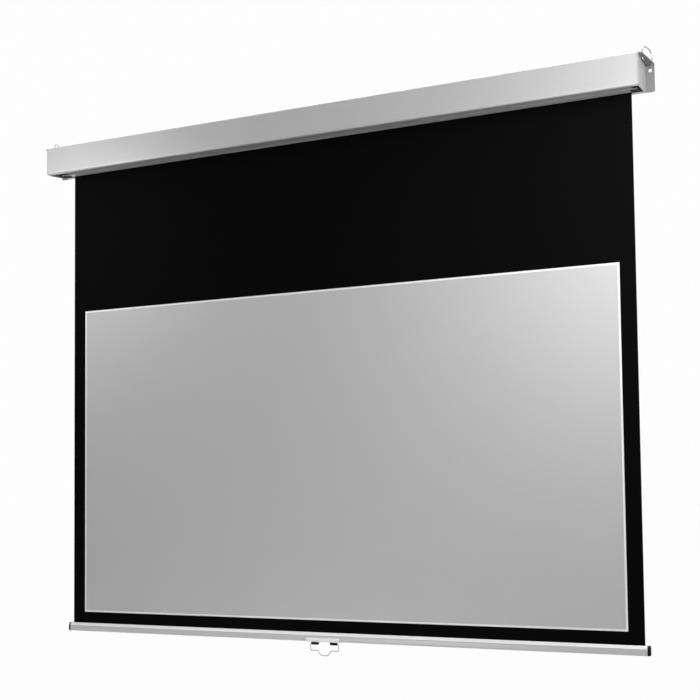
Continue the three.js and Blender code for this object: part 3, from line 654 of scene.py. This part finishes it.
def part_of_screen(face):
    """0 for the black borders, 1 for the grey viewing area, and 2 for the pale line round it."""
    x, y, z = face.center
    if not (grey_left < x < grey_right and z < view_top):
        return 0
    beside = grey_left + LINE < x < grey_right - LINE
    return 1 if beside and cloth_low.z + LINE < z < view_top - LINE else 2


def lay_flat(cloth, along):
    """Lays the cloth's UV map out in metres: X, and the length along the sheet."""
    layer = cloth.data.uv_layers.get("cloth") or cloth.data.uv_layers.new(name="cloth")
    for corner in cloth.data.loops:
        spot = cloth.data.vertices[corner.vertex_index].co
        layer.data[corner.index].uv = (spot.x, along(spot))


paint(screen, ("black_cloth", "grey_cloth", "pale_line"), part_of_screen)
for layer in list(screen.data.uv_layers):
    screen.data.uv_layers.remove(layer)
lay_flat(screen, lambda spot: -spot.z)
apply_modifier(screen, "SOLIDIFY", thickness=THICK, offset=0)
for face in screen.data.polygons:
    if face.normal.y > -FACING:
        face.material_index = 0
print(len(screen.data.polygons), "faces, with the black back and edges")

# %% Its shading and body, and a mesh of its own
close_piece(screen, "black_cloth", "casing", ["screen_fabric"], even=False)
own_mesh(screen)

# %% [markdown]
# ## The cloth's two ends
# Below, the cloth goes into the bar and round a rod that can't slip out of its slot. Above, one
# and a half turns stay on the roller. Each is a line seen from the end, pushed along X and
# thickened.

# %% A sheet from a line seen from the end


def line_length(line):
    """Length of a line of points (y, z)."""
    return sum(math.dist(a, b) for a, b in zip(line, line[1:]))


def bent_sheet(name, line, ends):
    """A sheet of cloth whose section follows the points (y, z) in metres."""
    left, right = ends
    cloth = draw_line(name, [((left, y, z), 0) for y, z in line])
    bpy.ops.mesh.extrude_region_move(TRANSFORM_OT_translate={"value": (right - left, 0, 0)})
    bpy.ops.mesh.select_all(action="SELECT")
    bpy.ops.mesh.normals_make_consistent(inside=False)
    bpy.ops.object.mode_set(mode="OBJECT")

    def along(spot):
        nearest = min(range(len(line)), key=lambda k: math.dist(line[k], spot[1:]))
        return line_length(line[:nearest + 1])

    lay_flat(cloth, along)
    apply_modifier(cloth, "SOLIDIFY", thickness=THICK, offset=0)
    return cloth


# %% Hem round the bar's rod
LEAVE, MEET, TURN_STEP = 105, 435, 15
LOOP_LEAD = 5.2 * MM
hem_low, hem_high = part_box("fabric_hem")
loop_radius = (hem_high.y - hem_low.y - THICK) / 2
loop_z = hem_low.z + THICK / 2 + loop_radius
hem_line = [(middle_y, cloth_low.z), (middle_y, (cloth_low.z + loop_z) / 2),
            (middle_y, loop_z + LOOP_LEAD)]
for degrees in range(LEAVE, MEET + 1, TURN_STEP):
    angle = math.radians(degrees)
    hem_line.append((middle_y + loop_radius * math.cos(angle),
                     loop_z + loop_radius * math.sin(angle)))
hem = bent_sheet("hem_cloth", hem_line, span("fabric_hem"))
close_piece(hem, "black_cloth", "screen_bar", ["fabric_hem"], even=False)
line_length(hem_line)

# %% Turns that stay on the roller
LAY_RADIUS, TURN_PITCH, TURNS, TURN_SIDES = 20.5 * MM, 0.8 * MM, 1.5, 64
tube_low, tube_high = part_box("roller_tube")
axis_y, axis_z = cloth_low.y - LAY_RADIUS, (tube_low.z + tube_high.z) / 2
turn_line = []
for step in range(int(TURNS * TURN_SIDES) + 1):
    angle = 2 * math.pi * step / TURN_SIDES
    radius = LAY_RADIUS + THICK / 2 - TURN_PITCH * step / TURN_SIDES
    turn_line.append((axis_y + radius * math.cos(angle), axis_z + radius * math.sin(angle)))
turns = bent_sheet("cloth_turns", turn_line, span("fabric_turns"))
close_piece(turns, "black_cloth", "roller", ["fabric_turns"], even=False)
line_length(turn_line)

# %% [markdown]
# ## The bottom bar
# A second extrusion weighs the cloth down. Its sloping shoulders shed dust, a groove runs along
# its front, the rod sits in a round cavity under the top slit, and a slot underneath takes the
# handle's clips. One line goes round all of this, in through the slits and out again. The closed
# hollow in its middle is cut afterwards with a Boolean modifier. The shoulders' upward faces get a
# lighter colour than the front: a painted highlight for the light that falls on them from above.

# %% Measures of the bar's section, in millimetres
SLIT, CAVITY, CAVITY_DROP, CAVITY_SIDES = 1.2, 4.5, 6.9, 20
CROWN, SHOULDER_DROP, HEEL_RISE, FOOT = 6, 8, 5, 7.5
NECK, HEAD, LEDGE, HEAD_TOP = 3.5, 5.5, 2, 5.2
GROOVE, SOFT, ROUND = 1, 0.3, 1.2
front, bottom, back, top = side_box("bottom_bar")
middle = (front + back) / 2
shoulder, heel = top - SHOULDER_DROP, bottom + HEEL_RISE
cavity_z = top - CAVITY_DROP
print("bar", round(back - front, 2), "x", round(top - bottom, 2), "mm")

# %% Bottom bar
first = math.degrees(math.acos(-SLIT / CAVITY))
last = 360 + math.degrees(math.acos(SLIT / CAVITY))
around = [math.radians(first + (last - first) * step / CAVITY_SIDES)
          for step in range(CAVITY_SIDES + 1)]
bar_line = [(middle + SLIT, top, SOFT), (middle + CROWN, top, ROUND), (back, shoulder, ROUND),
            (back, heel, ROUND), (middle + FOOT, bottom, ROUND), (middle + NECK, bottom, SOFT),
            (middle + NECK, bottom + LEDGE, 0), (middle + HEAD, bottom + LEDGE, 0),
            (middle + HEAD, bottom + HEAD_TOP, 0), (middle - HEAD, bottom + HEAD_TOP, 0),
            (middle - HEAD, bottom + LEDGE, 0), (middle - NECK, bottom + LEDGE, 0),
            (middle - NECK, bottom, SOFT), (middle - FOOT, bottom, ROUND), (front, heel, ROUND),
            (front, shoulder - 2 * GROOVE, SOFT), (front + GROOVE, shoulder - GROOVE, SOFT),
            (front, shoulder, SOFT), (middle - CROWN, top, ROUND), (middle - SLIT, top, SOFT)]
bar_line += [(middle + CAVITY * math.cos(a), cavity_z + CAVITY * math.sin(a), 0) for a in around]
bar = extrusion("bar_profile", bar_line, *span("bottom_bar"))
print(len(bar_line), "corners round the bar's section")

# %% Its closed hollow, and the painted highlight on its shoulders
HOLLOW_DROP, HOLLOW_DEPTH, HOLLOW_HEIGHT, OVERRUN = 15.1, 14, 4.4, 20
PAINTED_HIGHLIGHT_TILT = 0.3
low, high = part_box("bottom_bar")
hollow_place = ((low.x + high.x) / 2, middle * MM, (top - HOLLOW_DROP) * MM)
bpy.ops.object.select_all(action="DESELECT")
bpy.ops.mesh.primitive_cube_add(size=1, location=hollow_place)
core = bpy.context.object
core.scale = (high.x - low.x + OVERRUN * MM, HOLLOW_DEPTH * MM, HOLLOW_HEIGHT * MM)
bpy.ops.object.transform_apply(location=True, rotation=True, scale=True)
apply_modifier(bar, "BOOLEAN", operation="DIFFERENCE", object=core)
bpy.data.objects.remove(core)
# The shoulders' upward faces take the lighter finish, a painted highlight for light from above.
paint(bar, ("bar", "shoulder"),
      lambda face: face.normal.z > PAINTED_HIGHLIGHT_TILT and face.center.z > shoulder * MM)
close_piece(bar, "bar", "screen_bar", ["bottom_bar"])

# %% [markdown]
# ## Caps of the bar, and what holds the handle
# Black plugs close the bar. A brighter folded plate under its middle is held by two black lugs,
# whose heads sit in the slot underneath.

# %% Bar caps, bracket and lugs
BAR_PLUG_EDGE, LUG_EDGE, PLATE_EDGE = 0.5, 0.3, 0.2
for word in ("left", "right"):
    cap = softened(f"bar_plug_{word}", f"bar_cap_{word}", BAR_PLUG_EDGE)
    close_piece(cap, "black_plastic", "screen_bar", [f"bar_cap_{word}"])
    lug = softened(f"handle_lug_{word}", f"handle_clip_{word}", LUG_EDGE)
    close_piece(lug, "black_plastic", "screen_bar", [f"handle_clip_{word}"])
plate = softened("handle_plate", "handle_bracket", PLATE_EDGE)
close_piece(plate, "plate", "screen_bar", ["handle_bracket"])

# %% [markdown]
# ## Bent wires
# The handle and the hanging loops are bent from round wire. The line of bends becomes a curve
# whose bevel gives the wire its thickness, and the curve becomes a mesh. A pipe of circles that
# are bridged one by one would work too, but it would be harder to change.

# %% Wire from a line
WIRE_STEPS, WIRE_RESOLUTION = 8, 5
WIRE_MERGE = 0.01 * MM


def bent_wire(name, corners, diameter):
    """A round wire along corners (place, radius) in metres, with closed ends."""
    wire = draw_line(name, corners, WIRE_STEPS)
    bpy.ops.object.mode_set(mode="OBJECT")
    bpy.ops.object.convert(target="CURVE")
    wire = bpy.context.object
    wire.data.bevel_depth = diameter / 2
    wire.data.bevel_resolution = WIRE_RESOLUTION
    wire.data.use_fill_caps = True
    bpy.ops.object.convert(target="MESH")
    wire = bpy.context.object
    wire.name = wire.data.name = name
    bpy.ops.object.mode_set(mode="EDIT")
    bpy.ops.mesh.select_all(action="SELECT")
    bpy.ops.mesh.remove_doubles(threshold=WIRE_MERGE)
    bpy.ops.mesh.normals_make_consistent(inside=False)
    bpy.ops.object.mode_set(mode="OBJECT")
    return wire


def mirrored(half_line):
    """Corners (across, up, radius) of one half, and then their mirror images."""
    return half_line + [(-x, z, radius) for x, z, radius in reversed(half_line)]


# %% Pull handle
WIRE = 3.2
HALF_HANDLE = [(25.9, 0, 0), (42, 0, 5), (42, -20, 5), (20, -18.5, 5), (11, -32, 5)]
low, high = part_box("pull_handle")
centre = (low + high) / 2
pivot_z = high.z - WIRE / 2 * MM
corners = [((centre.x + x * MM, centre.y, pivot_z + z * MM), radius * MM)
           for x, z, radius in mirrored(HALF_HANDLE)]
handle = bent_wire("handle_bail", corners, WIRE * MM)
close_piece(handle, "steel", "handle", ["pull_handle"], WIRE_SMOOTH_ANGLE, even=False)

# %% Hanging loops
LOOP_WIRE, LOOP_TURN = 3.5, 73
HALF_LOOP = [(18, -4.55, 0), (25, -4.55, 2.4), (25, 29.25, 18)]
ear_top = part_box("casing_shell")[1].z
for side, word in ((-1, "left"), (1, "right")):
    low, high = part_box(f"hanging_loop_{word}")
    centre = (low + high) / 2
    turned = math.radians(side * LOOP_TURN)
    corners = [((centre.x + u * MM * math.cos(turned), centre.y + u * MM * math.sin(turned),
                 ear_top + z * MM), radius * MM) for u, z, radius in mirrored(HALF_LOOP)]
    loop = bent_wire(f"loop_wire_{word}", corners, LOOP_WIRE * MM)
    close_piece(loop, "steel", "casing", [f"hanging_loop_{word}"], WIRE_SMOOTH_ANGLE,
                even=False)

# %% [markdown]
# ## The spring
# Inside the roller a long coil of spring wire winds up as the cloth comes down. A small circle
# beside the axis is carried round and along by the Screw modifier, which is how a spring is wound
# on a rod.

# %% Torsion spring
SPRING_WIRE, SPRING_PITCH = 2 * MM, 10 * MM
WIRE_SIDES, COIL_STEPS = 12, 20
low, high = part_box("torsion_spring")
mean = (high.z - low.z - SPRING_WIRE) / 2
coils = round((high.x - low.x - SPRING_WIRE) / SPRING_PITCH)
bpy.ops.object.select_all(action="DESELECT")
bpy.ops.mesh.primitive_circle_add(vertices=WIRE_SIDES, radius=SPRING_WIRE / 2,
                                  location=(mean, 0, 0), rotation=(math.pi / 2, 0, 0))
spring = bpy.context.object
spring.name = spring.data.name = "winding_spring"
bpy.ops.object.transform_apply(location=True, rotation=True, scale=True)
apply_modifier(spring, "SCREW", axis="Z", screw_offset=SPRING_PITCH, iterations=coils,
               steps=COIL_STEPS, render_steps=COIL_STEPS)
bpy.ops.object.mode_set(mode="EDIT")
bpy.ops.mesh.select_all(action="SELECT")
bpy.ops.mesh.fill_holes(sides=WIRE_SIDES)
bpy.ops.mesh.select_all(action="SELECT")
bpy.ops.mesh.normals_make_consistent(inside=False)
bpy.ops.object.mode_set(mode="OBJECT")
spring.rotation_euler = (0, math.pi / 2, 0)
spring.location = (low.x + SPRING_WIRE / 2, (low.y + high.y) / 2, (low.z + high.z) / 2)
close_piece(spring, "steel", "casing", ["torsion_spring"], WIRE_SMOOTH_ANGLE, even=False)

# %% Sizes
size = {"cad": [list(corner) for corner in cad_box], "visual": [list(corner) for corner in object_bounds()]}
print({word: [[round(c, 4) for c in corner] for corner in box] for word, box in size.items()})
